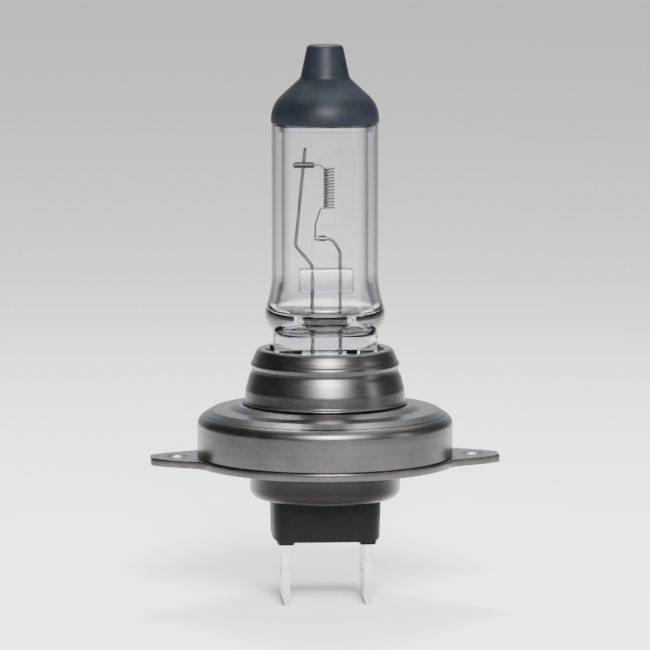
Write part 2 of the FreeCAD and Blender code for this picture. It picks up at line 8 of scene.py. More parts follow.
import bpy
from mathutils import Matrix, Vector


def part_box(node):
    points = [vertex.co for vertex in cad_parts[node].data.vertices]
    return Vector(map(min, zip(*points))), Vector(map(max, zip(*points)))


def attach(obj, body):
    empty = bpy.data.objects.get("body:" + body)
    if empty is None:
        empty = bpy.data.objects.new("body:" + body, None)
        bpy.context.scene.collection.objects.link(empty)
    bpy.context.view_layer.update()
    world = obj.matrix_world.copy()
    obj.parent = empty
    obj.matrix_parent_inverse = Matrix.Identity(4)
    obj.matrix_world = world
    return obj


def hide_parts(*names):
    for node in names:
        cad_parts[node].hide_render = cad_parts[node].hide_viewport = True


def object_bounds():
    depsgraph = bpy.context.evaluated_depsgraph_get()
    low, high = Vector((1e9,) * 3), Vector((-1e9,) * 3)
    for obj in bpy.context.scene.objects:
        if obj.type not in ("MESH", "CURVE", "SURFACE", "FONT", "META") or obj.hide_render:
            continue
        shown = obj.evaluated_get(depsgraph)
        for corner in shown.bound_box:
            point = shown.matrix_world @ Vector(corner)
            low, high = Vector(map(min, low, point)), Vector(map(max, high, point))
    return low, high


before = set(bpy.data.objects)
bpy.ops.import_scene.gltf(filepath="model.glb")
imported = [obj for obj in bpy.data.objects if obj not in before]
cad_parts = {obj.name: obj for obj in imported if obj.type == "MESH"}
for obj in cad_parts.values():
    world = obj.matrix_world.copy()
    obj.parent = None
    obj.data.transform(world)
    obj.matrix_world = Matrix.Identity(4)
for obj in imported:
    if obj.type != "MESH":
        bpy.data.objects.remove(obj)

MM = 0.001
TAU = 2 * math.pi
CAD_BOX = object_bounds()


def node_box(node):
    """Lowest and highest corner of a CAD node in millimetres."""
    low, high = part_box(node)
    return low / MM, high / MM


GLASS_LOW, GLASS_HIGH = node_box("glass_envelope")
COAT_LOW, COAT_HIGH = node_box("black_top_coating")
FILAMENT_LOW = node_box("filament")[0]
LONG_LOW, LONG_HIGH = node_box("long_support_wire")
SHORT_LOW = node_box("short_support_wire")[0]
CLIP_LOW, CLIP_HIGH = node_box("pinch_clip")
CUP_LOW, CUP_HIGH = node_box("burner_cup")
RING_LOW, RING_HIGH = node_box("collar_ring")
PLATE_LOW, PLATE_HIGH = node_box("flange_plate")
SHELL_LOW, SHELL_HIGH = node_box("rear_shell")
BLOCK_LOW, BLOCK_HIGH = node_box("insulator_block")

COAT_THICK = COAT_HIGH.z - GLASS_HIGH.z
TUBE_RADIUS = COAT_HIGH.x - COAT_THICK
BULGE_RADIUS = GLASS_HIGH.x
WIRE_RADIUS = (LONG_HIGH.y - LONG_LOW.y) / 2

# driving dimensions that the boxes don't give: the quartz burner
GLASS_WALL = 1.0
TIP_RADIUS = 1.75
TIP_FOOT_RADIUS = 2.45
TIP_FOOT = 38.2
DOME_CORNER = 35.45
CAVITY_TOP = 35.6
BULGE_START = 17.0
BULGE_BEND = 9.0
BULGE_MIDDLE = 14.0
BULGE_FOOT = BULGE_MIDDLE + 0.1
CAVITY_FLOOR = BULGE_MIDDLE + 1.0
PINCH_HALF_WIDTH = 5.3
PINCH_HALF_DEPTH = 1.7
PINCH_TOP = 11.6
WEB_HALF_WIDTH = 3.9

# the filament and its wires
COIL_MIDDLE = 0.4
COIL_RADIUS = 0.5
COIL_TURNS = 13.5
COIL_FOOT = 25.0
COIL_LENGTH = 4.1
COIL_TOP = COIL_FOOT + COIL_LENGTH
LEG_RADIUS = 0.1
LEG_KNEE = 23.3
LOWER_LEG_PLACE = -0.95
UPPER_LEVEL = COIL_TOP + 0.35
LOWER_LEVEL = 21.9
WIRE_PLACES = (-1.3, 1.54)
LONG_CRANK = 19.2
LONG_REACH = -3.0
LONG_ELBOW = 21.2
LONG_END = (-2.0, 31.2)
SHORT_SHOULDER = 20.6
SHORT_TURN = 0.7
CHANNEL_GAP = 0.03
CHANNEL_FOOT = 9.65
CHANNEL_TOPS = (12.75, 13.0)

# the metal base and the terminals
SHEET = 0.45
NECK_RADIUS = 7.45
NECK_FOOT = 5.05
COLLAR_SHOULDER = 4.1
CUP_MOUTH_RADIUS = 5.95
CLIP_LEVEL = 9.15
CLIP_SHEET = 0.3
FLANGE_HOLE = 7.9
BOSS_CIRCLE = 15.1
LUG_HALF_WIDTH = 6.0
SHELL_RADIUS = 7.65
SHELL_WINDOW = 6.75
BLOCK_DISC_RADIUS = 7.16
BLOCK_HALF_WIDTH = 5.6
BLOCK_HALF_DEPTH = 4.5
BLADE_PLACE = 4.15
BLADE_TAB = 1.5
BLADE_COLLAR = (0.95, 3.65)
LATCH_HEIGHT = -11.6
LATCH_RADIUS = 0.85

# sides of a round piece: the base's sheet metal, the glass and the moulding, the gas space
BASE_SIDES = 224
ROUND_SIDES = 160
CAVITY_SIDES = 128


# ---------------------------------------------------------------- outlines

def rounded(corners, closed=False, steps=6):
    """Straight runs through corners (u, v) or (u, v, radius), with each radius drawn as an arc."""
    points = []
    count = len(corners)
    for index, corner in enumerate(corners):
        here = Vector(corner[:2])
        end = not closed and index in (0, count - 1)
        if end or len(corner) == 2:
            points.append(here)
            continue
        before = Vector(corners[index - 1][:2])
        after = Vector(corners[(index + 1) % count][:2])
        back = (before - here).normalized()
        ahead = (after - here).normalized()
        half = back.angle(ahead) / 2
        if half > math.radians(89.5):
            points.append(here)
            continue
        centre = here + (back + ahead).normalized() * (corner[2] / math.sin(half))
        reach = corner[2] / math.tan(half)
        start = here + back * reach - centre
        sweep = start.angle_signed(here + ahead * reach - centre)
        parts = max(2, round(steps * abs(sweep) / (math.pi / 2)) + 1)
        for step in range(parts + 1):
            turn = -sweep * step / parts
            spoke = Vector((start.x * math.cos(turn) - start.y * math.sin(turn),
                            start.x * math.sin(turn) + start.y * math.cos(turn)))
            points.append(centre + spoke)
    return points


def evenly(points, step, closed=False):
    """The same run with its long straight parts divided, so that no edge is longer than step."""
    result = []
    last = len(points) if closed else len(points) - 1
    for index in range(last):
        a = points[index]
        b = points[(index + 1) % len(points)]
        parts = max(1, math.ceil((b - a).length / step))
        result += [a.lerp(b, part / parts) for part in range(parts)]
    if not closed:
        result.append(points[-1])
    return result


def outward(points, index, closed=True):
    """Unit normal to the right of a run at one of its points: outwards where it runs anticlockwise."""
    count = len(points)
    before = points[(index - 1) % count] if closed or index else points[0]
    after = points[(index + 1) % count] if closed or index < count - 1 else points[-1]
    along = (after - before).normalized()
    return Vector((along.y, -along.x))


def squarish(half_width, half_depth, power, count):
    """A ring from round (power 2) to nearly rectangular (power 8), as (x, y) points."""
    ring = []
    for step in range(count):
        angle = TAU * step / count
        c = abs(math.cos(angle)) / half_width
        s = abs(math.sin(angle)) / half_depth
        reach = (c ** power + s ** power) ** (-1 / power)
        ring.append(Vector((math.cos(angle) * reach, math.sin(angle) * reach)))
    return ring


def smooth_track(stations, per_span):
    """Catmull-Rom curve through tuples of numbers."""
    track = []
    last = len(stations) - 1
    for index in range(last):
        p0 = stations[max(index - 1, 0)]
        p1 = stations[index]
        p2 = stations[index + 1]
        p3 = stations[min(index + 2, last)]
        for step in range(per_span):
            t = step / per_span
            track.append(tuple(
                b + 0.5 * t * (c - a + t * (2 * a - 5 * b + 4 * c - d + t * (3 * (b - c) + d - a)))
                for a, b, c, d in zip(p0, p1, p2, p3)))
    track.append(stations[last])
    return track


def circle(point, count):
    """A profile point (radius, height) carried round the axis, as (x, y, z) points."""
    return [(point.x * math.cos(TAU * step / count), point.x * math.sin(TAU * step / count), point.y)
            for step in range(count)]


def rounded_edge(parts):
    """Shares of the edge radius along a rounded edge: 1 - sine and 1 - cosine of the turn so far."""
    bends = [math.pi / 2 * step / parts for step in range(parts + 1)]
    return [(1 - math.sin(bend), 1 - math.cos(bend)) for bend in bends]


def ease(value):
    """0 below 0, 1 above 1 and a smooth step between."""
    value = min(max(value, 0.0), 1.0)
    return value * value * (3 - 2 * value)


# ---------------------------------------------------------------- shells: (vertices, faces)

def loft(rings, closed=False):
    """Quads between rings of equal count; open ends are capped unless the rings close on themselves."""
    count = len(rings[0])
    vertices = [tuple(point) for ring in rings for point in ring]
    faces = []
    spans = len(rings) if closed else len(rings) - 1
    for span in range(spans):
        low = span * count
        high = (span + 1) % len(rings) * count
        for step in range(count):
            nxt = (step + 1) % count
            faces.append((low + step, low + nxt, high + nxt, high + step))
    if not closed:
        faces.append(tuple(reversed(range(count))))
        faces.append(tuple(range(len(vertices) - count, len(vertices))))
    return vertices, faces


def lathe(outline, segments=BASE_SIDES):
    """Revolve a closed outline of (radius, height) points, or an open one that ends on the axis."""
    vertices = []
    rows = []
    for point in outline:
        if point.x < 1e-6:
            rows.append([len(vertices)])
            vertices.append((0.0, 0.0, point.y))
            continue
        rows.append(list(range(len(vertices), len(vertices) + segments)))
        vertices += circle(point, segments)
    on_axis = len(rows[0]) == 1
    faces = []
    for index in range(len(rows) - 1 if on_axis else len(rows)):
        a = rows[index]
        b = rows[(index + 1) % len(rows)]
        for step in range(segments):
            nxt = (step + 1) % segments
            if len(a) == 1:
                faces.append((a[0], b[nxt], b[step]))
            elif len(b) == 1:
                faces.append((a[step], a[nxt], b[0]))
            else:
                faces.append((a[step], a[nxt], b[nxt], b[step]))
    return vertices, faces


def tube(route, radius, sides):
    """A round wire along a route of points, without twist; radius may be a function of the share."""
    rings = []
    side = None
    for index, point in enumerate(route):
        before = route[max(index - 1, 0)]
        after = route[min(index + 1, len(route) - 1)]
        along = (after - before).normalized()
        if side is None:
            side = along.orthogonal().normalized()
        side = (side - along * side.dot(along)).normalized()
        other = along.cross(side)
        size = radius(index / (len(route) - 1)) if callable(radius) else radius
        turns = [TAU * step / sides for step in range(sides)]
        rings.append([point + (side * math.cos(turn) + other * math.sin(turn)) * size for turn in turns])
    return loft(rings)


def plate(outline, hole, low, high, edge, across, emboss, place):
    """A flat plate with a round hole; emboss(u, v) lifts its top and bottom faces."""
    hole_u, hole_v, hole_radius = hole
    middle = Vector((hole_u, hole_v))
    bends = rounded_edge(4)
    rings = []
    for index, point in enumerate(outline):
        normal = outward(outline, index)
        spoke = (point - middle).normalized()
        lip = middle + spoke * hole_radius
        ring = []
        for step in range(across + 1):
            at = (lip + spoke * edge).lerp(point - normal * edge, step / across)
            ring.append((at.x, at.y, high + emboss(at.x, at.y)[0]))
        rim_up, rim_down = emboss(*(point - normal * edge))
        for inset, drop in bends[1:]:
            at = point - normal * edge * inset
            ring.append((at.x, at.y, high + rim_up - edge * drop))
        for rise, inset in bends[:-1]:
            at = point - normal * edge * inset
            ring.append((at.x, at.y, low + rim_down + edge * rise))
        for step in range(across + 1):
            at = (point - normal * edge).lerp(lip + spoke * edge, step / across)
            ring.append((at.x, at.y, low + emboss(at.x, at.y)[1]))
        for inset, rise in bends[1:]:
            at = lip + spoke * edge * inset
            ring.append((at.x, at.y, low + edge * rise))
        for drop, inset in bends[:-1]:
            at = lip + spoke * edge * inset
            ring.append((at.x, at.y, high - edge * drop))
        rings.append([place(*at) for at in ring])
    return loft(rings, closed=True)


def prism(outline, low, high, edge, draft=0.0):
    """A block with a plan outline, rounded top and bottom edges and a slight draft towards its foot."""
    bends = rounded_edge(5)
    levels = [(edge * inset + draft, low + edge * rise) for inset, rise in bends]
    levels += [(edge * inset, high - edge * drop) for drop, inset in bends]
    rings = []
    for inset, height in levels:
        ring = []
        for index, point in enumerate(outline):
            at = point - outward(outline, index) * inset
            ring.append((at.x, at.y, height))
        rings.append(ring)
    return loft(rings)


def strip(path, thickness, centre, width, turn, edge=0.06):
    """Bent sheet metal: a path in (outwards, up), thickened, set beside the axis and turned round it."""
    front = [p + outward(path, i, closed=False) * thickness / 2 for i, p in enumerate(path)]
    back = [p - outward(path, i, closed=False) * thickness / 2 for i, p in enumerate(path)]
    section = front + back[::-1]
    cosine = math.cos(turn)
    sine = math.sin(turn)
    half = width / 2
    rings = []
    for offset, inset in ((-half, edge), (-half + edge, 0), (half - edge, 0), (half, edge)):
        ring = []
        for index, point in enumerate(section):
            at = point
            if inset:
                mate = section[-1 - index]
                at = point.lerp(mate, inset / thickness)
            side = centre + offset
            ring.append((at.x * cosine - side * sine, at.x * sine + side * cosine, at.y))
        rings.append(ring)
    return loft(rings)


def join(*shells):
    """Several shells as one."""
    vertices = []
    faces = []
    for more_vertices, more_faces in shells:
        start = len(vertices)
        vertices += more_vertices
        faces += [tuple(start + corner for corner in face) for face in more_faces]
    return vertices, faces


def face_out(shell, inside=False):
    """Turn a closed shell's faces outwards, or inwards for the wall of a hollow."""
    vertices, faces = shell
    volume = 0.0
    for face in faces:
        first = Vector(vertices[face[0]])
        for corner in range(1, len(face) - 1):
            volume += first.dot(Vector(vertices[face[corner]]).cross(Vector(vertices[face[corner + 1]])))
    if (volume < 0) != inside:
        faces = [tuple(reversed(face)) for face in faces]
    return vertices, faces


def make_piece(name, shell, material, slot, *nodes, sharp=38):
    """Mesh object in metres that rides on the bulb and stands for the CAD nodes."""
    vertices, faces = shell
    mesh = bpy.data.meshes.new(name)
    mesh.from_pydata([tuple(c * MM for c in v) for v in vertices], [], faces)
    mesh.validate()
    for polygon in mesh.polygons:
        polygon.use_smooth = True
    mesh.set_sharp_from_angle(angle=math.radians(sharp))
    mesh.materials.append(material)
    piece = bpy.data.objects.new(name, mesh)
    bpy.context.scene.collection.objects.link(piece)
    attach(piece, "root")
    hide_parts(*nodes)


# ---------------------------------------------------------------- material helpers

class Nodes:
    """A material's node tree with short calls for the few nodes that the finishes use."""

    def __init__(self, name):
        self.material = bpy.data.materials.new(name)
        self.material.use_nodes = True
        self.tree = self.material.node_tree
        self.tree.nodes.clear()
        self.output = self.add("ShaderNodeOutputMaterial")
        self.shader = self.add("ShaderNodeBsdfPrincipled")
        self.link(self.shader.outputs[0], self.output.inputs["Surface"])
        self.place = self.add("ShaderNodeTexCoord").outputs["Object"]

    def add(self, kind):
        return self.tree.nodes.new(kind)

    def link(self, source, target):
        self.tree.links.new(source, target)

    def feed(self, target, value):
        if isinstance(value, bpy.types.NodeSocket):
            self.link(value, target)
        else:
            target.default_value = value

    def math(self, operation, a, b=0.0):
        node = self.add("ShaderNodeMath")
        node.operation = operation
        self.feed(node.inputs[0], a)
        self.feed(node.inputs[1], b)
        return node.outputs[0]

    def split(self):
        node = self.add("ShaderNodeSeparateXYZ")
        self.link(self.place, node.inputs[0])
        return node.outputs

    def combine(self, x, y, z):
        node = self.add("ShaderNodeCombineXYZ")
        for target, value in zip(node.inputs, (x, y, z)):
            self.feed(target, value)
        return node.outputs[0]

    def stretched(self, x, y, z):
        node = self.add("ShaderNodeMapping")
        node.inputs["Scale"].default_value = (x, y, z)
        self.link(self.place, node.inputs["Vector"])
        return node.outputs[0]

    def round_the_axis(self, turns):
        """Coordinates that change only slowly round the axis, for turning and drawing marks."""
        x, y, z = self.split()
        squares = [self.math("MULTIPLY", part, part) for part in (x, y)]
        radius = self.math("SQRT", self.math("ADD", *squares))
        angle = self.math("MULTIPLY", self.math("ARCTAN2", y, x), turns)
        return self.combine(radius, self.math("MULTIPLY", angle, radius), z)

    def noise(self, vector, scale, detail=4.0, roughness=0.55):
        node = self.add("ShaderNodeTexNoise")
        self.feed(node.inputs["Vector"], vector)
        node.inputs["Scale"].default_value = scale
        node.inputs["Detail"].default_value = detail
        node.inputs["Roughness"].default_value = roughness
        return node.outputs["Fac"]

    def between(self, factor, low, high, at_low=0.0, at_high=1.0):
        node = self.add("ShaderNodeMapRange")
        self.feed(node.inputs["Value"], factor)
        node.inputs["From Min"].default_value = at_low
        node.inputs["From Max"].default_value = at_high
        node.inputs["To Min"].default_value = low
        node.inputs["To Max"].default_value = high
        return node.outputs["Result"]

    def colours(self, factor, first, second):
        """A mix of two colours; either may be the outcome of another mix."""
        node = self.add("ShaderNodeMix")
        node.data_type = "RGBA"
        self.feed(node.inputs[0], factor)
        for target, colour in zip(node.inputs[6:8], (first, second)):
            self.feed(target, colour if isinstance(colour, bpy.types.NodeSocket) else (*colour, 1.0))
        return node.outputs[2]

    def bump(self, height, strength, distance):
        node = self.add("ShaderNodeBump")
        node.inputs["Strength"].default_value = strength
        node.inputs["Distance"].default_value = distance
        self.link(height, node.inputs["Height"])
        self.link(node.outputs["Normal"], self.shader.inputs["Normal"])

    def set(self, **sockets):
        """Shader sockets by name, with underscores for spaces."""
        for name, value in sockets.items():
            self.feed(self.shader.inputs[name.replace("_", " ")], value)


def per_mm(count):
    """Texture scale for marks that repeat count times in a millimetre."""
    return count / MM


# ---------------------------------------------------------------- materials

def quartz_material():
    """Clear fused quartz: faint drawing lines along the tube, uneven where the seal was pressed,
    with painted shade darkening its rims and a painted dark band in the thick glass of the seal. Shadow
    rays pass straight through."""
    n = Nodes("quartz_glass")
    height = n.split()[2]

    def ramp(low, high, start, end):
        """From low at one height in millimetres to high at another."""
        return n.between(height, low, high, start * MM, end * MM)

    lines = n.noise(n.stretched(1.0, 1.0, 0.06), per_mm(0.55), 3.0)
    ripples = n.noise(n.place, per_mm(0.9), 2.0)
    pressed = ramp(1.0, 0.0, 10.5, 13.5)
    relief = n.math("ADD", n.math("MULTIPLY", lines, 0.35), n.math("MULTIPLY", ripples, pressed))
    n.bump(relief, 0.22, 0.12 * MM)
    haze = n.between(n.noise(n.place, per_mm(0.25), 5.0), 0.0, 0.035, 0.45, 0.75)
    # painted shade: the base colour darkens towards the glass's silhouette
    edge = n.add("ShaderNodeLayerWeight")
    edge.inputs["Blend"].default_value = 0.5
    painted_rim_shade = n.between(edge.outputs["Facing"], 0.0, 1.0, 0.34, 0.66)
    # painted shade: a dark band in the seal's thick glass, set by height
    painted_seal_shade = n.math("MULTIPLY", ramp(0.0, 1.0, 12.3, 13.0), ramp(1.0, 0.0, 14.2, 15.2))
    body = n.colours(painted_seal_shade, (0.985, 0.992, 1.0), (0.4, 0.44, 0.46))
    n.set(Base_Color=n.colours(painted_rim_shade, body, (0.03, 0.032, 0.035)), Roughness=haze, IOR=1.458,
          Transmission_Weight=1.0)
    through = n.add("ShaderNodeBsdfTransparent")
    through.inputs["Color"].default_value = (0.94, 0.95, 0.96, 1.0)
    mix = n.add("ShaderNodeMixShader")
    n.link(n.add("ShaderNodeLightPath").outputs["Is Shadow Ray"], mix.inputs[0])
    n.link(n.shader.outputs[0], mix.inputs[1])
    n.link(through.outputs[0], mix.inputs[2])
    n.link(mix.outputs[0], n.output.inputs["Surface"])
    return n.material


def coating_material():
    """Baked blue-black coating: satin, slightly cloudy, with a fine sprayed grain."""
    n = Nodes("black_coating")
    clouds = n.noise(n.place, per_mm(0.35), 5.0, 0.6)
    grain = n.noise(n.place, per_mm(14), 3.0, 0.6)
    tone = n.between(clouds, 0.0, 1.0, 0.3, 0.7)
    n.set(Base_Color=n.colours(tone, (0.004, 0.0053, 0.008), (0.008, 0.0103, 0.0145)),
          Roughness=n.between(clouds, 0.42, 0.56, 0.3, 0.7), IOR=1.2)
    n.bump(n.math("ADD", n.math("MULTIPLY", grain, 0.25), clouds), 0.25, 0.1 * MM)
    return n.material


def turned_metal(name, dark, light, low_rough, high_rough):
    """Satin plated sheet with marks that run round the axis and a few faint stains."""
    n = Nodes(name)
    round_place = n.round_the_axis(0.02)
    fine = n.noise(round_place, per_mm(9), 5.0, 0.65)
    broad = n.noise(round_place, per_mm(1.1), 3.0)
    stains = n.noise(n.place, per_mm(0.22), 6.0, 0.65)
    tone = n.math("ADD", n.math("MULTIPLY", broad, 0.45), n.math("MULTIPLY", stains, 0.55))
    rough = n.between(n.math("ADD", fine, stains), low_rough, high_rough, 0.7, 1.3)
    n.set(Base_Color=n.colours(n.between(tone, 0.0, 1.0, 0.35, 0.65), dark, light), Metallic=1.0,
          Roughness=rough, Anisotropic=0.2)
    tangent = n.add("ShaderNodeTangent")
    tangent.direction_type = "RADIAL"
    tangent.axis = "Z"
    n.link(tangent.outputs[0], n.shader.inputs["Tangent"])
    n.bump(n.math("ADD", fine, n.math("MULTIPLY", broad, 0.15)), 0.09, 0.05 * MM)
    return n.material


def drawn_metal(name, dark, light, low_rough, high_rough, along=(1.0, 1.0, 0.05)):
    """Wire or strip with fine lines along one direction and a mottled, slightly oxidised tone."""
    n = Nodes(name)
    lines = n.noise(n.stretched(*along), per_mm(12), 4.0, 0.6)
    patches = n.noise(n.place, per_mm(0.8), 5.0, 0.6)
    n.set(Base_Color=n.colours(n.between(patches, 0.0, 1.0, 0.35, 0.65), dark, light), Metallic=1.0,
          Roughness=n.between(n.math("ADD", lines, patches), low_rough, high_rough, 0.7, 1.3))
    n.bump(lines, 0.25, 0.03 * MM)
    return n.material


def plastic_material():
    """Black glass-filled moulding with a fine spark-eroded grain."""
    n = Nodes("insulator_plastic")
    grain = n.noise(n.place, per_mm(7), 3.0, 0.6)
    swirl = n.noise(n.stretched(1.0, 1.0, 0.4), per_mm(0.4), 5.0, 0.6)
    n.set(Base_Color=n.colours(swirl, (0.002, 0.002, 0.0022), (0.005, 0.005, 0.0054)),
          Roughness=n.between(swirl, 0.42, 0.6, 0.3, 0.7), IOR=1.2)
    n.bump(grain, 0.3, 0.04 * MM)
    return n.material


QUARTZ = quartz_material()
COATING = coating_material()
# painted shade: the base metal's colour is kept far darker than plated steel, for the dark surroundings
# it reflects
BASE_METAL = turned_metal("base_metal", (0.06, 0.0583, 0.0566), (0.096, 0.0926, 0.0892), 0.25, 0.35)
# painted shade: the rear shell's metal is a darker copy of the base metal, for the shade it sits in
REAR_METAL_PAINTED_SHADE = turned_metal("rear_metal_painted_shade", (0.0145, 0.0142, 0.014), (0.026, 0.0255, 0.025), 0.28, 0.38)
CLIP_STEEL = drawn_metal("clip_steel", (0.13, 0.127, 0.121), (0.2, 0.195, 0.187), 0.24, 0.38)
MOLYBDENUM = drawn_metal("molybdenum", (0.05, 0.047, 0.044), (0.1, 0.095, 0.09), 0.3, 0.48)
SLEEVE_METAL = drawn_metal("sleeve_metal", (0.014, 0.0132, 0.0125), (0.032, 0.03, 0.0285), 0.36, 0.5)
TUNGSTEN = drawn_metal("tungsten", (0.05, 0.05, 0.053), (0.1, 0.1, 0.104), 0.3, 0.5, (1.0, 1.0, 1.0))
PLASTIC = plastic_material()
TERMINAL = drawn_metal("terminal_metal", (0.58, 0.57, 0.54), (0.72, 0.71, 0.68), 0.2, 0.38)


# ---------------------------------------------------------------- quartz burner

def burner_profile():
    """Glass profile from the tip's centre down to the middle of the bulge, as (radius, height)."""
    top = GLASS_HIGH.z
    return rounded([
        (0.0, top),
        (TIP_RADIUS, top, 0.4),
        (TIP_FOOT_RADIUS, TIP_FOOT, 0.8),
        (TUBE_RADIUS, DOME_CORNER, 3.1),
        (TUBE_RADIUS, BULGE_START, BULGE_BEND),
        (BULGE_RADIUS, BULGE_MIDDLE + 0.6, 1.8),
        (BULGE_RADIUS, BULGE_FOOT),
    ], steps=14)


def seal_stations():
    """Half width, half depth, squareness and height from the bulge to the foot of the pinch."""
    foot = GLASS_LOW.z
    return smooth_track([
        (BULGE_RADIUS, BULGE_RADIUS, 2.0, BULGE_FOOT),
        (6.05, 5.95, 2.0, 13.7),
        (5.9, 5.35, 2.05, 13.3),
        (5.68, 4.4, 2.2, 12.95),
        (5.48, 3.2, 2.6, 12.68),
        (5.36, 2.35, 3.4, 12.42),
        (PINCH_HALF_WIDTH, 1.85, 5.0, 12.1),
        (PINCH_HALF_WIDTH, PINCH_HALF_DEPTH, 7.0, PINCH_TOP),
        (PINCH_HALF_WIDTH, PINCH_HALF_DEPTH, 8.0, 9.0),
        (PINCH_HALF_WIDTH, PINCH_HALF_DEPTH, 8.0, 3.2),
        (PINCH_HALF_WIDTH - 0.08, PINCH_HALF_DEPTH - 0.08, 8.0, foot + 0.4),
        (PINCH_HALF_WIDTH - 0.3, PINCH_HALF_DEPTH - 0.3, 7.0, foot + 0.08),
        (PINCH_HALF_WIDTH - 0.7, PINCH_HALF_DEPTH - 0.7, 6.0, foot),
    ], 6)


def press_marks(x, height):
    """How much the pinch tool thinned the seal: a deep web between thick side ribs."""
    depth = 0.2
    across = 1 - ease((abs(x) - WEB_HALF_WIDTH) / 0.5)
    lengthwise = ease((PINCH_TOP - height) / 0.9)
    return 1 - depth * across * lengthwise


def glass_shell():
    """The burner's outside, round down to the bulge and then flattened into the pinch seal."""
    rings = [circle(point, ROUND_SIDES) for point in burner_profile()[1:]]
    for half_width, half_depth, power, height in seal_stations()[1:]:
        ring = squarish(half_width, half_depth, power, ROUND_SIDES)
        rings.append([(p.x, p.y * press_marks(p.x, height), height) for p in ring])
    return loft(rings)


def cavity_shell():
    """The gas space: domed at the top, with a flat floor that dips where the wires enter the seal."""
    bore = TUBE_RADIUS - GLASS_WALL
    base = BULGE_RADIUS - GLASS_WALL
    domed = rounded([(0.3, CAVITY_TOP), (bore, CAVITY_TOP, 2.8), (bore, BULGE_START, BULGE_BEND),
                     (base, CAVITY_FLOOR)], steps=12)
    rings = [circle(point, CAVITY_SIDES) for point in domed]
    floor_stations = smooth_track([
        (base, base, 2.0, CAVITY_FLOOR),
        (5.0, 4.95, 2.0, 14.65),
        (4.7, 4.55, 2.0, 14.4),
        (4.0, 3.7, 2.0, 14.26),
        (3.1, 2.5, 2.1, 14.14),
        (2.3, 1.4, 2.2, 13.95),
        (1.95, 0.9, 2.2, 13.6),
        (1.7, 0.7, 2.2, 13.1),
        (1.3, 0.45, 2.2, 12.75),
        (0.8, 0.25, 2.2, 12.66),
    ], 5)
    for half_width, half_depth, power, height in floor_stations[1:]:
        ring = squarish(half_width, half_depth, power, CAVITY_SIDES)
        rings.append([(p.x, p.y, height) for p in ring])
    return loft(rings)


def coating_shell():
    """Thin skin on the tip and dome, thinned out at its lower edge, a hair clear of the glass."""
    edge = 0.12
    gap = 0.004
    glass = [p for p in burner_profile() if p.y >= COAT_LOW.z]
    glass.append(Vector((TUBE_RADIUS, COAT_LOW.z + edge)))
    glass.append(Vector((TUBE_RADIUS, COAT_LOW.z)))
    skin = [p - outward(glass, i, closed=False) * COAT_THICK for i, p in enumerate(glass)]
    skin[0] = Vector((0.0, COAT_HIGH.z))
    skin[-1] = Vector((TUBE_RADIUS + COAT_THICK / 2, COAT_LOW.z))
    under = [p - outward(glass, i, closed=False) * gap for i, p in enumerate(glass)]
    under[0] = Vector((0.0, GLASS_HIGH.z + gap))
    return lathe(skin + under[::-1])


def wire_channel(place, low, high):
    """The thin gap that quartz leaves round a wire, as the wall of a hollow."""
    route = [Vector((place, 0.0, height)) for height in (low, (low + high) / 2, high)]
    return face_out(tube(route, WIRE_RADIUS + CHANNEL_GAP, 18), inside=True)


def make_burner():
    """The glass with its gas space and wire channels, and the coating on its top."""
    channels = [wire_channel(place, CHANNEL_FOOT, top) for place, top in zip(WIRE_PLACES, CHANNEL_TOPS)]
    glass = join(face_out(glass_shell()), face_out(cavity_shell(), inside=True), *channels)
    make_piece("quartz_burner", glass, QUARTZ, "quartz_glass", "glass_envelope", sharp=60)
    make_piece("black_top_cap", face_out(coating_shell()), COATING, "black_coating", "black_top_coating")


# ---------------------------------------------------------------- filament and supports

def in_plane(points, depth):
    """(x, z) points as 3D points in the plane y = depth."""
    return [Vector((p.x, depth, p.y)) for p in points]


def coil_route(per_turn=36):
    """The coil, a left-handed helix that starts at its back and climbs."""
    steps = round(COIL_TURNS * per_turn)
    route = []
    for step in range(steps + 1):
        share = step / steps
        angle = math.pi / 2 - TAU * COIL_TURNS * share
        across = COIL_MIDDLE + COIL_RADIUS * math.cos(angle)
        route.append(Vector((across, COIL_RADIUS * math.sin(angle), COIL_FOOT + COIL_LENGTH * share)))
    return route


def make_filament():
    """Axial coil with its two legs, drawn as one wire."""
    lower = rounded([
        (0.3, LOWER_LEVEL),
        (LOWER_LEG_PLACE, LOWER_LEVEL, 0.2),
        (LOWER_LEG_PLACE, LEG_KNEE, 0.4),
        (COIL_MIDDLE - 0.8, COIL_FOOT, 0.3),
        (COIL_MIDDLE, COIL_FOOT),
    ])
    upper = rounded([
        (COIL_MIDDLE, COIL_TOP),
        (COIL_MIDDLE - 0.55, COIL_TOP, 0.3),
        (COIL_MIDDLE - 0.95, UPPER_LEVEL, 0.3),
        (FILAMENT_LOW.x, UPPER_LEVEL),
    ])
    route = in_plane(lower, COIL_RADIUS)[:-1] + coil_route() + in_plane(upper, -COIL_RADIUS)[1:]
    make_piece("filament_wire", face_out(tube(route, LEG_RADIUS, 12)), TUNGSTEN, "tungsten", "filament")


def make_sleeve(name, node, level, depth):
    """Sleeve crimped at even distances along the leg, with rolled ends."""
    low, high = node_box(node)
    length = high.x - low.x
    radius = (high.z - low.z) / 2
    parts = 40
    crimp_depth = 0.06
    roll_depth = 0.35
    roll_length = 0.1
    route = [Vector((low.x + length * step / parts, depth, level)) for step in range(parts + 1)]

    def size(share):
        crimps = crimp_depth * math.cos(share * TAU * 3) ** 8
        ends = roll_depth * (1 - ease(min(share, 1 - share) * length / roll_length))
        return radius * (1 - crimps - ends)

    make_piece(name, face_out(tube(route, size, 20)), SLEEVE_METAL, "molybdenum", node)


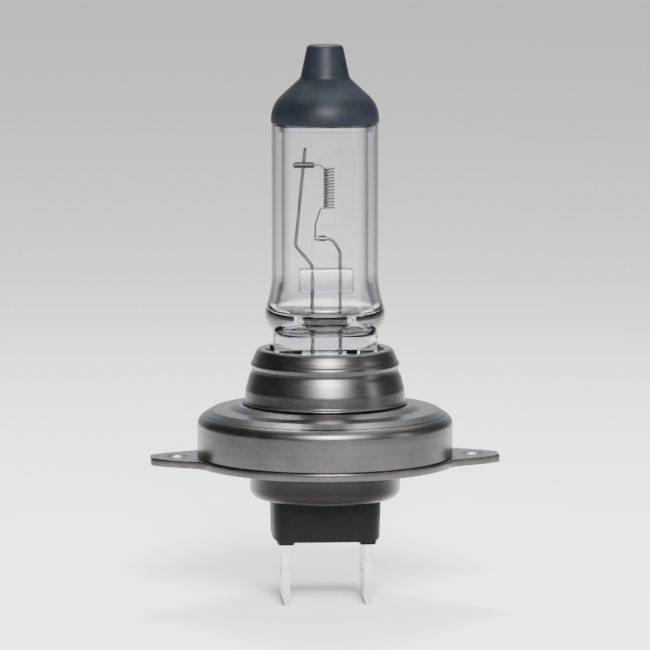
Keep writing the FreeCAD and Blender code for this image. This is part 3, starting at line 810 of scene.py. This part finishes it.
def make_supports():
    """The cranked long wire and the bent short one, each with its free end rounded off."""
    long_place, short_place = WIRE_PLACES
    long_route = rounded([
        (long_place, LONG_LOW.z),
        (long_place, LONG_CRANK, 0.8),
        (LONG_REACH, LONG_ELBOW, 0.8),
        LONG_END,
    ])
    short_route = rounded([
        (short_place, SHORT_LOW.z),
        (short_place, SHORT_SHOULDER, 0.9),
        (SHORT_TURN, LOWER_LEVEL, 0.8),
        (SHORT_LOW.x, LOWER_LEVEL),
    ])

    end_share = 0.015

    def blunt(share):
        return WIRE_RADIUS * (1 - 0.3 * ease(1 - (1 - share) / end_share))

    for name, route in (("long_support_wire", long_route), ("short_support_wire", short_route)):
        wire = tube(in_plane(evenly(route, 0.25), 0.0), blunt, 18)
        make_piece(name + "_drawn", face_out(wire), MOLYBDENUM, "molybdenum", name)


def make_bridge():
    """The two quartz bars, fused into one bridge round the wires, with rounded ends."""
    low, high = node_box("bridge_bar_front")
    depth = high.y - low.y
    bend = depth - 0.05
    skin = 0.01
    corners = [(low.x, -depth), (high.x, -depth), (high.x, depth), (low.x, depth)]
    outline = rounded([(x, y, bend) for x, y in corners], closed=True)
    body = face_out(prism(evenly(outline, 0.3, closed=True), low.z, high.z, 0.3))
    channels = [wire_channel(place, low.z + skin, high.z - skin) for place in WIRE_PLACES]
    make_piece("bridge_quartz", join(body, *channels), QUARTZ, "quartz_glass",
               "bridge_bar_front", "bridge_bar_rear", sharp=50)


# ---------------------------------------------------------------- metal base

def clip_plate():
    """The clip's round plate, from its window out to the cup's wall."""
    window = squarish(PINCH_HALF_WIDTH + 0.1, PINCH_HALF_DEPTH + 0.1, 8.0, ROUND_SIDES)
    rings = []
    for share, height in ((0, 1), (0.5, 1), (1, 1), (1, 0), (0.5, 0), (0, 0)):
        ring = []
        for index, inner in enumerate(window):
            angle = TAU * index / ROUND_SIDES
            outer = Vector((math.cos(angle), math.sin(angle))) * CLIP_HIGH.x
            at = inner.lerp(outer, share)
            ring.append((at.x, at.y, CLIP_LEVEL + CLIP_SHEET * (height - 0.5)))
        rings.append(ring)
    return face_out(loft(rings, closed=True))


def make_clip():
    """Clip inside the cup: a plate with a window for the pinch, and sprung tongues round it."""
    parts = [clip_plate()]
    grip = PINCH_HALF_DEPTH + 0.2
    bend = [(grip + 1.3, CLIP_LEVEL), (grip + 0.02, CLIP_LEVEL, 0.35)]
    tongue = rounded([*bend, (grip, 10.1, 0.5), (grip + 0.75, CLIP_HIGH.z)])
    short = rounded([*bend, (grip, 9.9, 0.4), (grip + 0.3, 10.25)])
    prong = rounded([*bend, (grip, CLIP_LOW.z)])
    # path, place along the pinch's flat side, width
    strips = ((tongue, -4.1, 1.5), (tongue, 4.1, 1.5), (short, 0.0, 4.6), (prong, 0.0, 6.2))
    for turn in (-math.pi / 2, math.pi / 2):
        for path, centre, width in strips:
            parts.append(face_out(strip(path, CLIP_SHEET, centre, width, turn)))
    hold = PINCH_HALF_WIDTH + 0.2
    ear = rounded([(hold + 0.7, CLIP_LEVEL), (hold + 0.02, CLIP_LEVEL, 0.25), (hold, 10.2, 0.4),
                   (hold + 0.3, CLIP_HIGH.z)])
    for turn in (0.0, math.pi):
        parts.append(face_out(strip(ear, CLIP_SHEET, 0.0, 2.0, turn)))
    make_piece("pinch_clip_sheet", join(*parts), CLIP_STEEL, "clip_steel", "pinch_clip")


def make_cup():
    """Beaded sleeve, from its flared foot up the tapering wall to the mouth turned in over the clip.

    The runs hold (radius, height, corner radius), up the outside and down the inside.
    """
    top = CUP_HIGH.z
    foot = CUP_LOW.z
    mouth = CUP_MOUTH_RADIUS
    groove = 7.46
    bore = NECK_RADIUS + 0.04
    flared_foot = [(CUP_HIGH.x, foot, 0.08), (CUP_HIGH.x, foot + 0.1, 0.1), (8.16, foot + 0.3, 0.12)]
    taper_and_groove = [(8.1, 6.6, 1.2), (7.74, 7.95, 0.8), (7.5, 8.4, 0.3), (groove, 8.8, 0.15)]
    bead = [(7.58, 9.12, 0.18), (7.52, 9.38, 0.18), (7.32, 9.62, 0.2), (7.24, 9.95, 0.35)]
    turned_in_mouth = [
        (mouth + 0.9, top, 0.45),
        (mouth, top, 0.16),
        (mouth, top - SHEET, 0.15),
        (mouth + 0.6, top - SHEET, 0.25),
    ]
    inside = [
        (groove - SHEET, 9.6, 0.3),
        (groove - SHEET, 8.4, 0.4),
        (bore, 7.6, 0.35),
        (bore, foot + 0.3, 0.1),
        (bore + 0.2, foot, 0.08),
    ]
    wall = rounded(flared_foot + taper_and_groove + bead + turned_in_mouth + inside, closed=True, steps=9)
    make_piece("burner_cup_drawn", face_out(lathe(wall)), BASE_METAL, "base_metal", "burner_cup")


def make_ring():
    """Drawn collar: straight 26 mm wall, rounded shoulder, stepped top and the neck inside the cup.

    The runs hold (radius, height, corner radius), in over the outside and back under it.
    """
    radius = RING_HIGH.x
    foot = RING_LOW.z
    top = RING_HIGH.z
    outer_wall = [(radius, foot, 0.08), (radius, COLLAR_SHOULDER - 0.04, 1.1)]
    steps_outside = [(12.26, 4.09, 0.1), (11.5, 4.55, 0.3), (9.75, 4.66, 0.25), (9.0, 5.1, 0.3)]
    neck = [
        (NECK_RADIUS, NECK_FOOT + 0.08, 0.1),
        (NECK_RADIUS, top, 0.15),
        (NECK_RADIUS - SHEET, top, 0.15),
        (NECK_RADIUS - SHEET, NECK_FOOT - SHEET, 0.5),
    ]
    steps_inside = [(9.0, 5.0 - SHEET, 0.5), (9.9, 4.6 - SHEET, 0.5), (11.5, 4.5 - SHEET, 0.5)]
    inner_wall = [(radius - SHEET, COLLAR_SHOULDER - SHEET, 0.8), (radius - SHEET, foot, 0.08)]
    wall = rounded(outer_wall + steps_outside + neck + steps_inside + inner_wall, closed=True, steps=9)
    make_piece("collar_ring_drawn", face_out(lathe(wall)), BASE_METAL, "base_metal", "collar_ring")


def flange_outline():
    """Plan of the plate: a disc with a tapered ear on each side and the wide lug at the back."""
    disc = -PLATE_LOW.y
    back = PLATE_HIGH.y
    lug = LUG_HALF_WIDTH
    lug_root = 12.2
    lug_corner = 1.6
    ear_turn = 22
    lug_turn = 58

    def on_disc(degrees):
        return (disc * math.cos(math.radians(degrees)), disc * math.sin(math.radians(degrees)))

    def arc(start, end):
        parts = round((end - start) / 2)
        return [on_disc(start + (end - start) * part / parts) for part in range(parts + 1)]

    ear = [(disc - 0.2, 4.05, 0.7), (16.2, 2.6, 1.6), (PLATE_HIGH.x, 1.3, 0.8)]
    right_ear = [(x, -y, r) for x, y, r in ear] + ear[::-1]
    left_ear = [(-x, -y, r) for x, y, r in right_ear]
    half_lug = [(lug, lug_root, 0.6), (lug, back - 0.6, 1.2), (lug - lug_corner, back, 1.2)]
    whole_lug = half_lug + [(-x, y, r) for x, y, r in half_lug[::-1]]
    corners = arc(ear_turn - 180, -ear_turn) + right_ear + arc(ear_turn, lug_turn) + whole_lug
    corners += arc(180 - lug_turn, 180 - ear_turn) + left_ear
    return evenly(rounded(corners, closed=True, steps=8), 0.3, closed=True)


def make_flange():
    """Stamped plate with its three supporting bosses pressed up from below."""
    boss_height = PLATE_HIGH.z - RING_LOW.z
    boss_radius = 0.75
    boss_slope = 0.45
    places = ((BOSS_CIRCLE, 0.0), (0.0, BOSS_CIRCLE), (-BOSS_CIRCLE, 0.0))

    def emboss(x, y):
        lift = max(1 - ease((math.hypot(x - u, y - v) - boss_radius) / boss_slope) for u, v in places)
        return boss_height * lift, boss_height * lift * 0.8

    shell = plate(flange_outline(), (0.0, 0.0, FLANGE_HOLE), PLATE_LOW.z, RING_LOW.z, 0.14, 34, emboss,
                  lambda u, v, w: (u, v, w))
    make_piece("flange_plate_stamped", face_out(shell), BASE_METAL, "base_metal", "flange_plate")


def block_plan(grow, count):
    """Plan of the insulator's foot, grown all round."""
    return squarish(BLOCK_HALF_WIDTH + grow, BLOCK_HALF_DEPTH + grow, 4.6, count)


def make_shell():
    """Rear cup hung by its lip in the flange, with a rounded foot and a window for the insulator."""
    lip = SHELL_HIGH.x
    seat = RING_LOW.z
    foot = SHELL_LOW.z
    outer = SHELL_RADIUS
    inside = rounded([
        (lip, seat),
        (lip, seat + SHEET),
        (outer - SHEET, seat + SHEET, 0.5),
        (outer - SHEET, foot + SHEET, 0.5),
        (SHELL_WINDOW, foot + SHEET),
    ], steps=8)
    outside = rounded([
        (SHELL_WINDOW, foot),
        (outer, foot, 1.0),
        (outer, seat, 0.08),
        (lip, seat),
    ], steps=9)[:-1]
    window = block_plan(0.05, BASE_SIDES)
    rings = [circle(point, BASE_SIDES) for point in inside]
    rings += [[(p.x, p.y, height) for p in window] for height in (foot + SHEET, foot)]
    rings += [circle(point, BASE_SIDES) for point in outside]
    shell = face_out(loft(rings, closed=True))
    # the shell takes the darker copy of the base metal, as painted shade
    make_piece("rear_shell_drawn", shell, REAR_METAL_PAINTED_SHADE, "base_metal", "rear_shell")


# ---------------------------------------------------------------- insulator and terminals

def make_insulator():
    """Moulding: hidden disc, drafted foot with a stepped end, and a raised collar round each blade."""
    seat = SHELL_LOW.z + SHEET
    top = BLOCK_HIGH.z
    radius = BLOCK_DISC_RADIUS
    end = BLOCK_LOW.z + 0.35
    overlap = 0.2
    disc = rounded([(0.0, seat), (radius, seat, 0.7), (radius, top, 0.2), (0.0, top)], steps=5)
    parts = [face_out(lathe(disc, ROUND_SIDES))]
    parts.append(face_out(prism(block_plan(0.0, ROUND_SIDES), end, seat + overlap, 0.35, 0.12)))
    for side in (-1, 1):
        collar = [p + Vector((side * BLADE_PLACE, 0.0)) for p in squarish(*BLADE_COLLAR, 7.0, 96)]
        parts.append(face_out(prism(collar, BLOCK_LOW.z, end + overlap, 0.15, 0.04)))
    make_piece("insulator_moulding", join(*parts), PLASTIC, "insulator_plastic", "insulator_block")


def make_blade(node):
    """Stamped blade: tapered end, thinned lead-in, latch hole and a narrow welded top."""
    low, high = node_box(node)
    half = (high.y - low.y) / 2
    thick = high.x - low.x
    middle = (high.x + low.x) / 2
    shoulder = BLOCK_HIGH.z
    lead_in = 1.2
    right_side = [
        (half - 0.9, low.z, 0.3),
        (half, low.z + 1.1, 0.3),
        (half, shoulder, 0.2),
        (BLADE_TAB, shoulder, 0.2),
        (BLADE_TAB, high.z, 0.3),
    ]
    left_side = [(-u, v, r) for u, v, r in right_side[::-1]]
    outline = rounded(left_side[-1:] + right_side + left_side[:-1], closed=True, steps=5)

    def thin(u, v):
        """The blade tapers in thickness towards its lower end, evenly across its width."""
        taper = 0.26 * ease((low.z + lead_in - v) / lead_in)
        return -taper, taper

    latch = (0.0, LATCH_HEIGHT, LATCH_RADIUS)
    shell = plate(evenly(outline, 0.3, closed=True), latch, -thick / 2, thick / 2, 0.08, 16, thin,
                  lambda u, v, w: (middle + w, u, v))
    make_piece(node + "_stamped", face_out(shell), TERMINAL, "terminal_metal", node)


# ---------------------------------------------------------------- the kept CAD nodes

def finish_kept_nodes():
    """The foils and leads stay as they are in the CAD and only take the finish."""
    for node in ("molybdenum_foil_left", "molybdenum_foil_right", "outer_lead_left", "outer_lead_right"):
        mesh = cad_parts[node].data
        mesh.materials.clear()
        mesh.materials.append(MOLYBDENUM)


# ---------------------------------------------------------------- stage, light and camera

def floor_material():
    """Plain pale paper."""
    n = Nodes("floor_paper")
    fibre = n.noise(n.place, per_mm(0.9), 4.0)
    n.set(Base_Color=n.colours(fibre, (0.81, 0.805, 0.797), (0.85, 0.845, 0.837)), Roughness=0.8)
    return n.material


def make_floor():
    """A square of paper under the blades, far wider than the picture."""
    size = 4.0
    corners = ((-1, -1), (1, -1), (1, 1), (-1, 1))
    mesh = bpy.data.meshes.new("floor")
    mesh.from_pydata([(x * size, y * size, CAD_BOX[0].z) for x, y in corners], [], [(0, 1, 2, 3)])
    mesh.materials.append(floor_material())
    floor = bpy.data.objects.new("floor", mesh)
    bpy.context.scene.collection.objects.link(floor)


def make_light(name, place, size, power, spread):
    """A soft box aimed at the cup: place and size in metres, power in watts, spread in degrees."""
    target = Vector((0.0, 0.0, 0.012))
    lamp = bpy.data.lights.new(name, "AREA")
    lamp.shape = "RECTANGLE"
    lamp.size, lamp.size_y = size
    lamp.energy = power
    lamp.spread = math.radians(spread)
    holder = bpy.data.objects.new(name, lamp)
    holder.location = place
    holder.rotation_euler = (target - holder.location).to_track_quat("-Z", "Y").to_euler()
    bpy.context.scene.collection.objects.link(holder)


def make_lights():
    """A soft box in front, one high up behind, a faint one at the side and a wide soft sky."""
    make_light("key", (0.02, -0.5, 0.36), (0.22, 0.24), 2.1, 60.0)
    make_light("top", (0.01, 0.24, 0.46), (0.16, 0.14), 0.5, 60.0)
    make_light("side", (0.6, -0.2, 0.2), (0.12, 0.4), 0.12, 70.0)
    sky = bpy.data.lights.new("overhead", "SUN")
    sky.energy = 2.0
    sky.angle = math.radians(70)
    holder = bpy.data.objects.new("overhead", sky)
    holder.rotation_euler = (math.radians(-12), math.radians(8), 0)
    bpy.context.scene.collection.objects.link(holder)


def smooth_ramp(tree, value, start, end, low, high):
    """low up to start, high from end on and a smooth step between them."""
    node = tree.nodes.new("ShaderNodeMapRange")
    node.interpolation_type = "SMOOTHSTEP"
    for name, amount in (("From Min", start), ("From Max", end), ("To Min", low), ("To Max", high)):
        node.inputs[name].default_value = amount
    tree.links.new(value, node.inputs["Value"])
    return node.outputs["Result"]


def make_world():
    """A dim room, darker to the left, with a lit wall behind; the camera itself sees plain grey."""
    world = bpy.data.worlds.new("studio")
    world.use_nodes = True
    tree = world.node_tree
    room = tree.nodes["Background"]
    place = tree.nodes.new("ShaderNodeTexCoord").outputs["Generated"]
    split = tree.nodes.new("ShaderNodeSeparateXYZ")
    tree.links.new(place, split.inputs[0])
    both = tree.nodes.new("ShaderNodeMath")
    both.operation = "ADD"
    tree.links.new(smooth_ramp(tree, split.outputs[0], -0.7, 0.9, 0.14, 0.3), both.inputs[0])
    tree.links.new(smooth_ramp(tree, split.outputs[1], 0.68, 0.96, 0.0, 0.85), both.inputs[1])
    tree.links.new(both.outputs[0], room.inputs["Strength"])
    room.inputs["Color"].default_value = (0.9, 0.94, 1.0, 1.0)
    seen = tree.nodes.new("ShaderNodeBackground")
    seen.inputs["Color"].default_value = (0.6, 0.6, 0.6, 1.0)
    mix = tree.nodes.new("ShaderNodeMixShader")
    tree.links.new(tree.nodes.new("ShaderNodeLightPath").outputs["Is Camera Ray"], mix.inputs[0])
    tree.links.new(room.outputs[0], mix.inputs[1])
    tree.links.new(seen.outputs[0], mix.inputs[2])
    tree.links.new(mix.outputs[0], tree.nodes["World Output"].inputs["Surface"])
    bpy.context.scene.world = world


def make_camera():
    """Slightly above the bulb and a little to its left, as in the photograph."""
    azimuth = math.radians(-4.0)
    elevation = math.radians(7.0)
    distance = 0.48
    field = 0.066
    target = Vector((0.0, 0.0, (CAD_BOX[0].z + CAD_BOX[1].z) / 2))
    back = Vector((math.sin(azimuth) * math.cos(elevation), -math.cos(azimuth) * math.cos(elevation),
                   math.sin(elevation)))
    lens = bpy.data.cameras.new("camera")
    lens.sensor_width = 36.0
    lens.lens = lens.sensor_width * distance / field
    lens.clip_start = 0.01
    lens.clip_end = 20.0
    camera = bpy.data.objects.new("camera", lens)
    camera.location = target + back * distance
    camera.rotation_euler = (-back).to_track_quat("-Z", "Y").to_euler()
    bpy.context.scene.collection.objects.link(camera)
    bpy.context.scene.camera = camera


make_camera()
make_burner()
make_filament()
make_sleeve("upper_leg_crimp", "upper_leg_sleeve", UPPER_LEVEL, -COIL_RADIUS)
make_sleeve("lower_leg_crimp", "lower_leg_sleeve", LOWER_LEVEL, COIL_RADIUS)
make_supports()
make_bridge()
make_clip()
make_cup()
make_ring()
make_flange()
make_shell()
make_insulator()
for blade in ("terminal_blade_left", "terminal_blade_right"):
    make_blade(blade)
finish_kept_nodes()
make_floor()
make_lights()
make_world()
